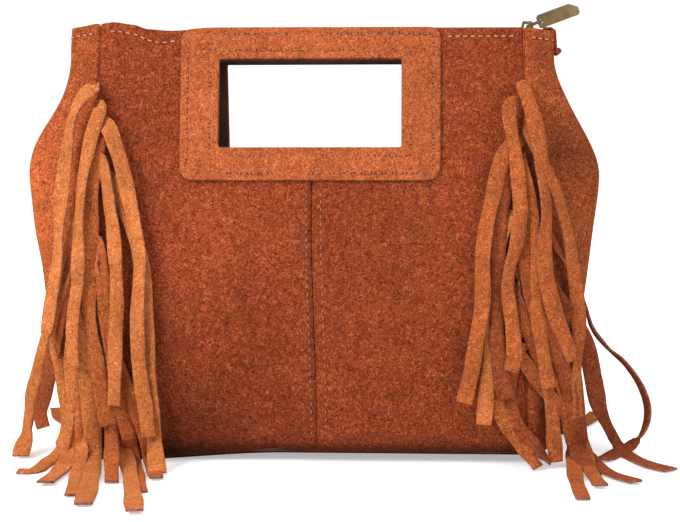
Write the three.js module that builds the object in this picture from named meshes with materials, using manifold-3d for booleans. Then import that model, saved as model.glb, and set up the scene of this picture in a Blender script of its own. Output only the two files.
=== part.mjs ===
// A fringed suede hand bag, in millimetres, +Z up. It stands on its base at z = 0, with its front towards -Y.
// Two front and two back panels, two gussets and a base are sewn into a body that is narrow at the zip and full
// at the belly. A rectangular hand opening goes through the front and the back, each with a sewn-on frame outside
// and a facing inside. A cut fringe is caught in each of the four upright seams, and a zip closes the top.
import * as THREE from "three";
import { mergeVertices } from "three/addons/utils/BufferGeometryUtils.js";
import Module from "manifold-3d";

const wasm = await Module();
wasm.setup();

// Body
const HEIGHT = 227; // base to the top edge of the panels
const PANEL_WIDTH = 221.2; // seam to seam
const SUEDE = 1.4; // thickness of the hide
const GAP = 0.3; // between pieces that lie against each other
const TOP_DEPTH = 27; // front to back at the top edge
const CREASE_HEIGHT = 145; // the stiff upper part ends here
const CREASE_DEPTH = 52;
const BELLY_HEIGHT = 55; // where the body is deepest
const BELLY_DEPTH = 84;
const FOOT_DEPTH = 76;
const PANEL_BOW = 5; // how far the middle of a panel stands out from its side seams
const BOTTOM_ROLL = 9; // radius of the lower edge
const ROLL_END = THREE.MathUtils.degToRad(80);
const CENTRE_SEAM = 0.3; // between the two halves of a panel
const SEAM_ALLOWANCE = 4; // turned in along each upright seam
const SEAM_CORNER = 2; // outer radius of the turned edge

// Gussets
const GUSSET_TOP_BULGE = 14.4; // how far the gusset stands out sideways from its seam
const GUSSET_BELLY_BULGE = 41;
const GUSSET_FOOT_BULGE = 16;
const GUSSET_BELLY_HEIGHT = 150;
const GUSSET_NECK_HEIGHT = 214; // above this the gusset keeps its top width
const GUSSET_TOP_DIP = 1.5; // its top edge drops towards the middle

// Handle
const OPENING_WIDTH = 97.4;
const OPENING_HEIGHT = 47;
const OPENING_CORNER = 1.2;
const FRAME_BORDER = 20; // at the sides
const FRAME_TOP_BORDER = 17;
const FRAME_LOWER_BORDER = 17.5;
const FRAME_CORNER = 7;
const FRAME_TOP_CORNER = 5.5;
const FRAME_THICKNESS = 1.6;
const FACING_THICKNESS = 1.2;
const FACING_SIDE_MARGIN = 2.4; // from the facing's end to the turned seam

// Base and lining
const BASE_THICKNESS = 1.6;
const BOARD_THICKNESS = 2.6;
const BOARD_MARGIN = 6; // the board is this much smaller than the base all round
const LINING_THICKNESS = 0.5;
const LINING_INSET = SEAM_ALLOWANCE + 0.9; // from the body's outer face
const LINING_TOP = 214;

// Fringe
const STRAND_COUNT = 16;
const STRAND_PITCH = 9; // the sheet is cut into strands of this width
const STRAND_WIDTH = 8.6;
const STRAND_LENGTH = 160;
const FRINGE_THICKNESS = 1.4;
const FRINGE_TOP = 198; // height of the first strand
const HEADER_TOP = 225; // the uncut strip in the seam
const HEADER_BOTTOM = 12;
const LAYER_STRANDS = 6; // strands that lie side by side before the next layer
const LAYER_STEP = 3.2;
const FIRST_LAYER_CLEARANCE = 2.6; // from the body to the strands next to it
const COLUMN_PITCH = 10;
const CURTAIN_REACH = 43; // how far beyond the seam the curtain of strands would meet the gusset's outer side
const FAN_DROP = 62; // a strand reaches its column this far below its root
const ROOT_LENGTH = 3; // a strand stands out this far from the seam before it turns
const FLOOR_CLEARANCE = 0.5;
const FLOOR_LAYER_STEP = 2;

// Zip
const ZIP_HEIGHT = 224.4; // middle of the tape
const TAPE_THICKNESS = 0.6;
const TAPE_LEG_BOTTOM = 216;
const TAPE_INNER_EDGE = 3.2;
const TAPE_END = 119;
const TAPE_END_HALF_WIDTH = 7.6; // beyond the side seam the tape is only this wide
const TOOTH_PITCH = 5;
const TOOTH_HEIGHT = 2.2;
const TOOTH_ROOT = 2.9; // distance from the middle of the zip
const TOOTH_TIP = 0.85;
const ZIP_LEFT = -105;
const ZIP_RIGHT = 109;
const STOP_WIDTH = 1.4;
const SLIDER_LENGTH = 10;
const SLIDER_WIDTH = 8.4;
const SLIDER_WALL = 1;
const SLIDER_CHANNEL = 3.2;
const SLIDER_CENTRE = 114.5; // parked at the closed end
const SLIDER_POST = 0.9;
const BAIL_LENGTH = 7;
const BAIL_RISE = 4.3;
const BAIL_SEAT = 0.3; // how far its legs are sunk into the slider
const BAIL_WIRE = 1.3;
const LINK_LENGTH = 7.5;
const LINK_WIDTH = 6.6;
const LINK_WIRE = 1.2;
const PULL_LENGTH = 22.5;
const PULL_WIDTH = 7.2;
const PULL_THICKNESS = 2;
const PULL_TILT = THREE.MathUtils.degToRad(20); // it rises to the right, resting on the zip's tail
const TAIL_WIDTH = 12;
const TAIL_THICKNESS = 1.2;
const TAIL_ROLL = 1.7; // radius of its sewn end
const TAIL_DROP = 11; // how far it hangs down outside the gusset

// Places worked out from the sizes above
const PANEL_EDGE = PANEL_WIDTH / 2;
const HEADER_INNER = PANEL_EDGE + GAP;
const HEADER_X = HEADER_INNER + FRINGE_THICKNESS / 2;
const GUSSET_EDGE = HEADER_INNER + FRINGE_THICKNESS + GAP;
const LEAN = Math.atan((CREASE_DEPTH - TOP_DEPTH) / 2 / (HEIGHT - CREASE_HEIGHT));
const PLATE_HEIGHT = (HEIGHT - CREASE_HEIGHT) / Math.cos(LEAN);
const FRAME_WIDTH = OPENING_WIDTH + 2 * FRAME_BORDER;
const FRAME_HEIGHT = OPENING_HEIGHT + FRAME_TOP_BORDER + FRAME_LOWER_BORDER;
const OPENING_MIDDLE = PLATE_HEIGHT - FRAME_TOP_BORDER - OPENING_HEIGHT / 2;

const suede = (color) => new THREE.MeshStandardMaterial({ color, roughness: 0.95, metalness: 0 });
const PANEL_SUEDE = suede(0x9c4a1e);
const GUSSET_SUEDE = suede(0xa5501f);
const FRAME_SUEDE = suede(0xb4602a);
const FRINGE_SUEDE = suede(0xb9682e);
const FACING_SUEDE = suede(0x5a2b16);
const LINING_CLOTH = new THREE.MeshStandardMaterial({ color: 0x4a3226, roughness: 0.9, metalness: 0 });
const BOARD = new THREE.MeshStandardMaterial({ color: 0x6f6252, roughness: 0.9, metalness: 0 });
const TAPE_CLOTH = new THREE.MeshStandardMaterial({ color: 0x54301d, roughness: 0.9, metalness: 0 });
const ANTIQUE_BRASS = new THREE.MeshStandardMaterial({ color: 0x7d6a48, roughness: 0.42, metalness: 0.9 });

const bag = new THREE.Group();

function addMesh(name, geometry, material, parent = bag) {
  const mesh = new THREE.Mesh(geometry, material);
  mesh.name = name;
  parent.add(mesh);
  return mesh;
}

// A closed mesh from its vertices and triangles, turned so that its faces point out.
function closedMesh(vertices, triangles) {
  let volume = 0;
  for (const [a, b, c] of triangles) {
    volume += vertices[a].dot(new THREE.Vector3().crossVectors(vertices[b], vertices[c]));
  }
  const index = triangles.flatMap(([a, b, c]) => (volume < 0 ? [a, c, b] : [a, b, c]));
  const geometry = new THREE.BufferGeometry();
  geometry.setAttribute("position", new THREE.Float32BufferAttribute(vertices.flatMap((v) => v.toArray()), 3));
  geometry.setIndex(index);
  return geometry;
}

// The triangles that close a convex ring of points, and those that close the ring round a sheet: one face's
// points and then the other's in reverse.
const convexEnd = (count) => Array.from({ length: count - 2 }, (_, i) => [0, i + 1, i + 2]);
const sheetEnd = (count) =>
  Array.from({ length: count / 2 - 1 }, (_, i) => [
    [i, i + 1, count - 2 - i],
    [i, count - 2 - i, count - 1 - i],
  ]).flat();

// A solid through rings of points that all run round in the same way.
function loft(rings, endTriangles = convexEnd) {
  const count = rings[0].length;
  const vertices = rings.flat();
  const triangles = [];
  for (let r = 0; r + 1 < rings.length; r++) {
    for (let i = 0; i < count; i++) {
      const a = r * count + i;
      const b = r * count + ((i + 1) % count);
      triangles.push([a, b, b + count], [a, b + count, a + count]);
    }
  }
  const last = (rings.length - 1) * count;
  for (const [a, b, c] of endTriangles(count)) {
    triangles.push([a, c, b], [last + a, last + b, last + c]);
  }
  return closedMesh(vertices, triangles);
}

function toSolid(geometry) {
  const bare = geometry.clone();
  bare.deleteAttribute("normal");
  bare.deleteAttribute("uv");
  const merged = mergeVertices(bare, 1e-4);
  return new wasm.Manifold(
    new wasm.Mesh({
      numProp: 3,
      vertProperties: new Float32Array(merged.attributes.position.array),
      triVerts: new Uint32Array(merged.index.array),
    }),
  );
}

function toGeometry(solid) {
  const mesh = solid.getMesh();
  const geometry = new THREE.BufferGeometry();
  geometry.setAttribute("position", new THREE.Float32BufferAttribute(mesh.vertProperties, 3));
  geometry.setIndex(new THREE.Uint32BufferAttribute(mesh.triVerts, 1));
  return geometry;
}

const boxBetween = (x0, x1, y0, y1, z0, z1) =>
  new THREE.BoxGeometry(x1 - x0, y1 - y0, z1 - z0).translate((x0 + x1) / 2, (y0 + y1) / 2, (z0 + z1) / 2);

const unionOf = (geometries) => toGeometry(wasm.Manifold.union(geometries.map(toSolid)));

// The side view of the body: half its depth at a height.
function halfDepth(z) {
  if (z >= CREASE_HEIGHT) {
    return TOP_DEPTH / 2 + (HEIGHT - z) * Math.tan(LEAN);
  }
  if (z >= BELLY_HEIGHT) {
    const share = (CREASE_HEIGHT - z) / (CREASE_HEIGHT - BELLY_HEIGHT);
    return (CREASE_DEPTH + (BELLY_DEPTH - CREASE_DEPTH) * Math.sin((share * Math.PI) / 2)) / 2;
  }
  const share = 1 - z / BELLY_HEIGHT;
  return (BELLY_DEPTH - (BELLY_DEPTH - FOOT_DEPTH) * share ** 2) / 2;
}

// How far a gusset stands out sideways at a height.
function gussetBulge(z) {
  if (z >= GUSSET_BELLY_HEIGHT) {
    const share = 1 - THREE.MathUtils.smoothstep(z, GUSSET_BELLY_HEIGHT, GUSSET_NECK_HEIGHT);
    return THREE.MathUtils.lerp(GUSSET_TOP_BULGE, GUSSET_BELLY_BULGE, share);
  }
  const share = (1 - z / GUSSET_BELLY_HEIGHT) ** 1.4;
  return THREE.MathUtils.lerp(GUSSET_BELLY_BULGE, GUSSET_FOOT_BULGE, share);
}

// The middle of a panel stands out below the crease.
function panelBow(x, z) {
  const rise = (CREASE_HEIGHT - z) / (CREASE_HEIGHT - BOTTOM_ROLL);
  if (rise <= 0 || rise >= 1) {
    return 0;
  }
  return PANEL_BOW * Math.sin(rise * Math.PI) * (1 - (x / PANEL_EDGE) ** 2);
}

// Stations down the side view from the top edge, round the rolled lower edge, to where the base begins.
// Each has its height, its half depth, how much the roll has taken off, and the inward direction there.
function profileStations(upper, lower, roll) {
  const stations = [];
  const lean = { in: Math.cos(LEAN), up: -Math.sin(LEAN) };
  for (let i = 0; i < upper; i++) {
    const z = THREE.MathUtils.lerp(HEIGHT, CREASE_HEIGHT, i / upper);
    stations.push({ z, half: halfDepth(z), rolled: 0, ...lean });
  }
  for (let i = 0; i < lower; i++) {
    const z = THREE.MathUtils.lerp(CREASE_HEIGHT, BOTTOM_ROLL, i / lower);
    const slope = Math.atan(halfDepth(z - 1) - halfDepth(z));
    stations.push({ z, half: halfDepth(z), rolled: 0, in: Math.cos(slope), up: -Math.sin(slope) });
  }
  for (let i = 0; i <= roll; i++) {
    const angle = (ROLL_END * i) / roll;
    const rolled = BOTTOM_ROLL * (1 - Math.cos(angle));
    stations.push({
      z: BOTTOM_ROLL * (1 - Math.sin(angle)),
      half: halfDepth(BOTTOM_ROLL) - rolled,
      rolled,
      in: Math.cos(angle),
      up: Math.sin(angle),
    });
  }
  return stations;
}

const PANEL_STATIONS = profileStations(2, 7, 3);
const GUSSET_STATIONS = profileStations(7, 6, 3);
const LAST_STATION = PANEL_STATIONS[PANEL_STATIONS.length - 1];
const GUSSET_ANGLES = Array.from({ length: 9 }, (_, i) => (-0.5 + i / 8) * Math.PI);

// The turned edge of a sewn piece, from the flat to the end of its allowance: x measured from the edge, depth inward.
function turnedEdge(inset) {
  const radius = SEAM_CORNER - inset;
  const points = [];
  for (const angle of [Math.PI / 4, 0]) {
    points.push([SEAM_CORNER - radius * Math.cos(angle), SEAM_CORNER - radius * Math.sin(angle)]);
  }
  points.push([inset, SEAM_ALLOWANCE]);
  return points;
}

// Half a panel, for the front and the right. Its section is a flat sheet with a turned edge, swept down the side view.
function panelHalf() {
  const across = 5;
  const flat = Array.from({ length: across }, (_, i) =>
    THREE.MathUtils.lerp(CENTRE_SEAM / 2, PANEL_EDGE - SEAM_CORNER, i / (across - 1)),
  );
  const face = (depth) => [
    ...flat.map((x) => [x, depth]),
    ...turnedEdge(depth).map(([x, d]) => [PANEL_EDGE - x, d]),
  ];
  const section = [...face(0), ...face(SUEDE).reverse()];
  const rings = PANEL_STATIONS.map((s) =>
    section.map(([x, d]) => new THREE.Vector3(x, -(s.half + panelBow(x, s.z)) + d * s.in, s.z + d * s.up)),
  );
  return toSolid(loft(rings, sheetEnd)).subtract(openingCutter());
}

// The box that cuts the front hand opening, square to the leaning upper part.
function openingCutter() {
  const reach = CREASE_DEPTH / 4;
  const box = new THREE.BoxGeometry(OPENING_WIDTH, 2 * reach, OPENING_HEIGHT);
  box.translate(0, reach / 2, OPENING_MIDDLE);
  box.rotateX(-LEAN);
  box.translate(0, -CREASE_DEPTH / 2, CREASE_HEIGHT);
  return toSolid(box);
}

// A gusset, for the right: turned edges at both seams, and an elliptical sweep between them.
function gussetGeometry() {
  const ring = (s) => {
    const bulge = gussetBulge(Math.max(s.z, BOTTOM_ROLL)) - s.rolled - SEAM_CORNER;
    const neck = Math.max(0, (s.z - CREASE_HEIGHT) / (HEIGHT - CREASE_HEIGHT));
    const face = (depth) => {
      const turned = turnedEdge(depth).reverse();
      const edge = (sign) =>
        turned.map(
          ([x, d]) => new THREE.Vector3(GUSSET_EDGE + x, sign * (s.half - d * s.in), s.z + d * s.up),
        );
      const sweep = GUSSET_ANGLES.map(
        (a) =>
          new THREE.Vector3(
            GUSSET_EDGE + SEAM_CORNER + (bulge - depth * s.in) * Math.cos(a),
            (s.half - depth * s.in) * Math.sin(a),
            s.z + depth * s.up - GUSSET_TOP_DIP * neck * Math.cos(a),
          ),
      );
      return [...edge(-1), ...sweep, ...edge(1).reverse()];
    };
    return [...face(0), ...face(SUEDE).reverse()];
  };
  return loft(GUSSET_STATIONS.map(ring), sheetEnd);
}

// The outline of the body at a station, taken in by a depth: straight along the panels, elliptical at the ends.
function bodyOutline(s, depth) {
  const bulge = gussetBulge(Math.max(s.z, BOTTOM_ROLL)) - s.rolled - SEAM_CORNER;
  const points = [];
  for (const side of [1, -1]) {
    for (const angle of GUSSET_ANGLES) {
      points.push([
        side * (GUSSET_EDGE + SEAM_CORNER + (bulge - depth) * Math.cos(angle)),
        side * (s.half - depth) * Math.sin(angle),
      ]);
    }
  }
  return points;
}

function flatPlate(points, bottom, thickness) {
  const shape = new THREE.Shape(points.map(([x, y]) => new THREE.Vector2(x, y)));
  return new THREE.ExtrudeGeometry(shape, { depth: thickness, bevelEnabled: false }).translate(0, 0, bottom);
}

// The lining is a thin bag: an outer form less an inner one, open at the top, with the hand openings cut through.
function liningGeometry() {
  const form = (depth) => {
    const rings = GUSSET_STATIONS.map((s) =>
      bodyOutline(s, depth * s.in).map(([x, y]) => new THREE.Vector3(x, y, s.z + depth * s.up)),
    );
    return toSolid(loft(rings));
  };
  const outer = form(LINING_INSET);
  const inner = form(LINING_INSET + LINING_THICKNESS);
  const front = openingCutter();
  const back = front.rotate([0, 0, 180]);
  const lid = toSolid(boxBetween(-HEIGHT, HEIGHT, -HEIGHT, HEIGHT, LINING_TOP, 2 * HEIGHT));
  return toGeometry(outer.subtract(inner).subtract(lid).subtract(front).subtract(back));
}

function roundedRectangle(x0, x1, y0, y1, lower, upper) {
  const shape = new THREE.Shape();
  shape.moveTo(x0 + lower, y0);
  shape.lineTo(x1 - lower, y0);
  shape.absarc(x1 - lower, y0 + lower, lower, -Math.PI / 2, 0);
  shape.lineTo(x1, y1 - upper);
  shape.absarc(x1 - upper, y1 - upper, upper, 0, Math.PI / 2);
  shape.lineTo(x0 + upper, y1);
  shape.absarc(x0 + upper, y1 - upper, upper, Math.PI / 2, Math.PI);
  shape.lineTo(x0, y0 + lower);
  shape.absarc(x0 + lower, y0 + lower, lower, Math.PI, 1.5 * Math.PI);
  return shape;
}

// A plate of the handle with the hand opening in it: x across, z up the leaning panel, its faces along y.
function handlePlate(x0, x1, z0, z1, lower, upper, thickness) {
  const shape = roundedRectangle(x0, x1, z0, z1, lower, upper);
  const low = OPENING_MIDDLE - OPENING_HEIGHT / 2;
  const half = OPENING_WIDTH / 2;
  shape.holes.push(
    roundedRectangle(-half, half, low, low + OPENING_HEIGHT, OPENING_CORNER, OPENING_CORNER),
  );
  const options = { depth: thickness, bevelEnabled: false, curveSegments: 5 };
  return new THREE.ExtrudeGeometry(shape, options).rotateX(Math.PI / 2);
}

function addHandle(side, group) {
  const leaning = new THREE.Group();
  leaning.position.set(0, -CREASE_DEPTH / 2, CREASE_HEIGHT);
  leaning.rotation.x = -LEAN;
  group.add(leaning);
  const half = FRAME_WIDTH / 2;
  const frame = handlePlate(
    -half, half, PLATE_HEIGHT - FRAME_HEIGHT, PLATE_HEIGHT, FRAME_CORNER, FRAME_TOP_CORNER, FRAME_THICKNESS,
  );
  addMesh("handle_frame_" + side, frame.translate(0, -GAP, 0), FRAME_SUEDE, leaning);
  const end = PANEL_EDGE - SUEDE - FACING_SIDE_MARGIN;
  const facing = handlePlate(-end, end, 1, PLATE_HEIGHT - 1, 1, 1, FACING_THICKNESS);
  const depth = SUEDE + GAP + FACING_THICKNESS;
  addMesh("handle_facing_" + side, facing.translate(0, depth, 0), FACING_SUEDE, leaning);
}

// The fringe. A strand leaves the seam on edge, turns flat, drapes over the body and, where it is long enough,
// runs out along the floor.

// The curtain that the strands hang along: it never comes in again below a place where the body stands out.
function curtainDepth(x, z) {
  const outward = Math.min(1, Math.max(0, x - GUSSET_EDGE) / CURTAIN_REACH);
  const bow = panelBow(Math.min(x, PANEL_EDGE), Math.max(z, (CREASE_HEIGHT + BOTTOM_ROLL) / 2));
  return halfDepth(Math.max(z, BELLY_HEIGHT)) * Math.sqrt(1 - outward ** 2) + bow;
}

// Where strand i hangs: its layer, counted from the body, and its column, counted from the seam.
function strandPlace(i) {
  const layers = Math.ceil(STRAND_COUNT / LAYER_STRANDS);
  const inLayer = i % LAYER_STRANDS;
  const rank = Math.floor((LAYER_STRANDS - 1 - inLayer) / 2);
  const towardsGusset = inLayer % 2 === 1;
  return {
    layer: layers - 1 - Math.floor(i / LAYER_STRANDS),
    column: (towardsGusset ? 1 : -1) * (rank + 0.75),
  };
}

// The line of strand i of the front right fringe, as stations with the direction of the strand's width.
function strandLine(i) {
  const root = FRINGE_TOP - i * STRAND_PITCH;
  const { layer, column } = strandPlace(i);
  const target = HEADER_X + column * COLUMN_PITCH;
  const clearance = FIRST_LAYER_CLEARANCE + layer * LAYER_STEP;
  const floor = FLOOR_CLEARANCE + FRINGE_THICKNESS / 2 + layer * FLOOR_LAYER_STEP;
  const seamDepth = halfDepth(root);
  const upright = new THREE.Vector3(0, 0, 1);
  const half = STRAND_WIDTH / 2;
  const hangAt = (drop) => {
    const share = Math.min(1, drop / FAN_DROP);
    const x = THREE.MathUtils.lerp(HEADER_X, target, Math.sin((share * Math.PI) / 2));
    const z = root - drop;
    const near = curtainDepth(x - half, z);
    const far = curtainDepth(x + half, z);
    return {
      point: new THREE.Vector3(x, -(near + far) / 2 - clearance, z),
      across: new THREE.Vector3(STRAND_WIDTH, near - far, 0).normalize(),
    };
  };
  const start = new THREE.Vector3(HEADER_X, -seamDepth, root);
  const stations = [
    { point: start.clone().setY(-seamDepth + SEAM_ALLOWANCE / 2), across: upright },
    { point: start.clone().setY(-seamDepth - ROOT_LENGTH), across: upright },
  ];
  const first = hangAt(12);
  stations.push({
    point: start.clone().lerp(first.point, 0.35).setY(-seamDepth - ROOT_LENGTH - clearance / 2),
    across: upright.clone().add(first.across).normalize(),
  });
  stations.push(first);
  const turn = floor + 9;
  for (const drop of [30, FAN_DROP, 105]) {
    if (root - drop > turn + 6) {
      stations.push(hangAt(drop));
    }
  }
  if (root - turn > STRAND_LENGTH) {
    stations.push(hangAt(STRAND_LENGTH));
    return stations;
  }
  const foot = hangAt(root - turn);
  stations.push(foot);
  const splay = THREE.MathUtils.degToRad(10 + 14 * column);
  const ahead = new THREE.Vector3(Math.sin(splay), -Math.cos(splay), 0);
  const across = new THREE.Vector3(Math.cos(splay), Math.sin(splay), 0);
  for (const run of [7, 30, STRAND_LENGTH]) {
    stations.push({ point: foot.point.clone().addScaledVector(ahead, run).setZ(floor), across });
  }
  return stations;
}

// Cuts a line of stations to a length.
function trimmed(stations, length) {
  const kept = [stations[0]];
  let left = length;
  for (let i = 1; i < stations.length; i++) {
    const before = stations[i - 1].point;
    const { point, across } = stations[i];
    const step = point.distanceTo(before);
    if (step >= left) {
      kept.push({ point: before.clone().lerp(point, left / step), across });
      break;
    }
    kept.push(stations[i]);
    left -= step;
  }
  return kept;
}

// A flat strip along a line of stations.
function stripGeometry(stations, width, thickness) {
  const corners = [[1, 1], [-1, 1], [-1, -1], [1, -1]];
  const rings = stations.map(({ point, across }, i) => {
    const before = stations[Math.max(0, i - 1)].point;
    const after = stations[Math.min(stations.length - 1, i + 1)].point;
    const along = after.clone().sub(before).normalize();
    const side = across.clone().addScaledVector(along, -across.dot(along)).normalize();
    const normal = new THREE.Vector3().crossVectors(along, side);
    return corners.map(([a, n]) =>
      point
        .clone()
        .addScaledVector(side, (a * width) / 2)
        .addScaledVector(normal, (n * thickness) / 2),
    );
  });
  return loft(rings);
}

// The uncut strip of the fringe, which follows the seam.
function headerGeometry() {
  const half = FRINGE_THICKNESS / 2;
  const section = [[-half, 0.2], [half, 0.2], [half, SEAM_ALLOWANCE], [-half, SEAM_ALLOWANCE]];
  const heights = PANEL_STATIONS.filter((s) => s.z > HEADER_BOTTOM && s.z < HEADER_TOP).map((s) => s.z);
  const rings = [HEADER_TOP, ...heights, HEADER_BOTTOM].map((z) =>
    section.map(([x, d]) => new THREE.Vector3(HEADER_X + x, -halfDepth(z) + d, z)),
  );
  return loft(rings);
}

function fringeGeometry() {
  const strands = Array.from({ length: STRAND_COUNT }, (_, i) =>
    stripGeometry(trimmed(strandLine(i), STRAND_LENGTH), STRAND_WIDTH, FRINGE_THICKNESS),
  );
  return toSolid(unionOf([headerGeometry(), ...strands]));
}

// The zip. Each tape lies level beside the teeth and turns down inside the facing.
function tapeGeometry() {
  const depth = SUEDE + FACING_THICKNESS + 2 * GAP;
  const legAt = (z) => -(halfDepth(z) - depth / Math.cos(LEAN));
  const top = ZIP_HEIGHT + TAPE_THICKNESS / 2;
  const low = ZIP_HEIGHT - TAPE_THICKNESS / 2;
  const profile = [
    [legAt(TAPE_LEG_BOTTOM), TAPE_LEG_BOTTOM],
    [legAt(TAPE_LEG_BOTTOM) + TAPE_THICKNESS, TAPE_LEG_BOTTOM],
    [legAt(low) + TAPE_THICKNESS, low],
    [-TAPE_INNER_EDGE, low],
    [-TAPE_INNER_EDGE, top],
    [legAt(top), top],
  ];
  const end = PANEL_EDGE - SUEDE - 2 * GAP;
  const length = 2 * end;
  const main = new THREE.ExtrudeGeometry(new THREE.Shape(profile.map(([y, z]) => new THREE.Vector2(y, z))), {
    depth: length,
    bevelEnabled: false,
  });
  main.applyMatrix4(new THREE.Matrix4().set(0, 0, 1, -end, 1, 0, 0, 0, 0, 1, 0, 0, 0, 0, 0, 1));
  const tongue = boxBetween(end - 1, TAPE_END, -TAPE_END_HALF_WIDTH, -TAPE_INNER_EDGE, low, top);
  return unionOf([main, tongue]);
}

// A row of teeth, drawn from above as a comb and given its height.
function teethGeometry() {
  const outline = [new THREE.Vector2(ZIP_RIGHT, -TOOTH_ROOT), new THREE.Vector2(ZIP_LEFT, -TOOTH_ROOT)];
  const count = Math.floor((ZIP_RIGHT - ZIP_LEFT) / TOOTH_PITCH);
  const gum = (TOOTH_ROOT + TOOTH_TIP) / 2;
  for (let i = 0; i < count; i++) {
    const x = ZIP_LEFT + i * TOOTH_PITCH;
    outline.push(new THREE.Vector2(x, -gum));
    outline.push(new THREE.Vector2(x + TOOTH_PITCH * 0.15, -TOOTH_TIP));
    outline.push(new THREE.Vector2(x + TOOTH_PITCH * 0.55, -TOOTH_TIP));
    outline.push(new THREE.Vector2(x + TOOTH_PITCH * 0.7, -gum));
  }
  outline.push(new THREE.Vector2(ZIP_RIGHT, -gum));
  const options = { depth: TOOTH_HEIGHT, bevelEnabled: false };
  const geometry = new THREE.ExtrudeGeometry(new THREE.Shape(outline), options);
  return geometry.translate(0, 0, ZIP_HEIGHT - TOOTH_HEIGHT / 2);
}

// The staple that joins the two rows at the left, where the slider stops when the bag is open.
function openStop() {
  const x = ZIP_LEFT - GAP;
  const half = TOOTH_HEIGHT / 2;
  return boxBetween(x - STOP_WIDTH, x, -TOOTH_ROOT, TOOTH_ROOT, ZIP_HEIGHT - half, ZIP_HEIGHT + half);
}

// The crimp across the tapes' ends at the right, beyond the parked slider.
function closedStop() {
  const x = TAPE_END + GAP;
  const half = TOOTH_HEIGHT / 2;
  return boxBetween(x, x + STOP_WIDTH, -TAPE_END_HALF_WIDTH, TAPE_END_HALF_WIDTH, ZIP_HEIGHT - half, ZIP_HEIGHT + half);
}

const SLIDER_TOP = ZIP_HEIGHT + SLIDER_CHANNEL / 2 + SLIDER_WALL;
const PIVOT_HEIGHT = SLIDER_TOP + BAIL_RISE - BAIL_SEAT - BAIL_WIRE - LINK_WIRE * Math.SQRT1_2 - GAP;
const PIVOT = new THREE.Vector3(SLIDER_CENTRE + 0.4, 0, PIVOT_HEIGHT);

// Two plates held apart by a post that runs between the rows, low flanges at the sides, and the bail on top.
function sliderGeometry() {
  const half = SLIDER_LENGTH / 2;
  const wide = SLIDER_WIDTH / 2;
  const plate = (z) => {
    const shape = new THREE.Shape();
    shape.moveTo(-half, -wide * 0.72);
    shape.lineTo(half * 0.5, -wide);
    shape.lineTo(half, -wide * 0.72);
    shape.lineTo(half, wide * 0.72);
    shape.lineTo(half * 0.5, wide);
    shape.lineTo(-half, wide * 0.72);
    return new THREE.ExtrudeGeometry(shape, { depth: SLIDER_WALL, bevelEnabled: false }).translate(0, 0, z);
  };
  const channel = SLIDER_CHANNEL / 2;
  const post = boxBetween(half - 3.2, half - 0.4, -SLIDER_POST / 2, SLIDER_POST / 2, -channel - 0.5, channel + 0.5);
  const bail = new THREE.Shape();
  const reach = BAIL_LENGTH / 2;
  bail.moveTo(-reach, 0);
  bail.lineTo(-reach * 0.7, BAIL_RISE);
  bail.lineTo(reach * 0.7, BAIL_RISE);
  bail.lineTo(reach, 0);
  bail.lineTo(reach - BAIL_WIRE, 0);
  bail.lineTo(reach * 0.7 - BAIL_WIRE * 0.8, BAIL_RISE - BAIL_WIRE);
  bail.lineTo(-reach * 0.7 + BAIL_WIRE * 0.8, BAIL_RISE - BAIL_WIRE);
  bail.lineTo(-reach + BAIL_WIRE, 0);
  const arch = new THREE.ExtrudeGeometry(bail, { depth: 2 * BAIL_WIRE, bevelEnabled: false });
  arch.rotateX(Math.PI / 2).translate(0, BAIL_WIRE, channel + SLIDER_WALL - BAIL_SEAT);
  const slider = unionOf([plate(channel), plate(-channel - SLIDER_WALL), post, arch]);
  return slider.translate(SLIDER_CENTRE, 0, ZIP_HEIGHT);
}

// The link is a flat ring of wire. It runs along +X from the bail, and is tilted with the pull.
function linkGeometry() {
  const outer = new THREE.Shape();
  const ring = (shape, inset) => {
    const x0 = -LINK_WIRE / 2 + inset;
    const x1 = LINK_LENGTH + LINK_WIRE / 2 - inset;
    const half = LINK_WIDTH / 2 - inset;
    shape.moveTo(x0, -half);
    shape.lineTo(x1, -half);
    shape.lineTo(x1, half);
    shape.lineTo(x0, half);
    shape.closePath();
  };
  ring(outer, 0);
  const hole = new THREE.Path();
  ring(hole, LINK_WIRE);
  outer.holes.push(hole);
  const options = { depth: LINK_WIRE, bevelEnabled: false };
  return new THREE.ExtrudeGeometry(outer, options).translate(0, 0, -LINK_WIRE / 2);
}

// The pull is a flat bar on edge, its broad faces to the front and back, with a hole for the link and cut far corners.
function pullGeometry() {
  const half = PULL_WIDTH / 2;
  const start = -LINK_WIRE / 2 - GAP - 1.1;
  const end = start + PULL_LENGTH;
  const shape = new THREE.Shape();
  shape.moveTo(start, -half + 1);
  shape.lineTo(start + 1, -half);
  shape.lineTo(end - 1, -half);
  shape.lineTo(end, -half + 1);
  shape.lineTo(end, half - 3.2);
  shape.lineTo(end - 4.2, half);
  shape.lineTo(start + 1, half);
  shape.lineTo(start, half - 1);
  const eye = LINK_WIRE / 2 + GAP;
  const hole = new THREE.Path();
  hole.absarc(0, 0, eye * 1.25, 0, 2 * Math.PI, true);
  shape.holes.push(hole);
  const options = { depth: PULL_THICKNESS, bevelEnabled: false, curveSegments: 8 };
  return new THREE.ExtrudeGeometry(shape, options).rotateX(Math.PI / 2).translate(0, PULL_THICKNESS / 2, 0);
}

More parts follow.
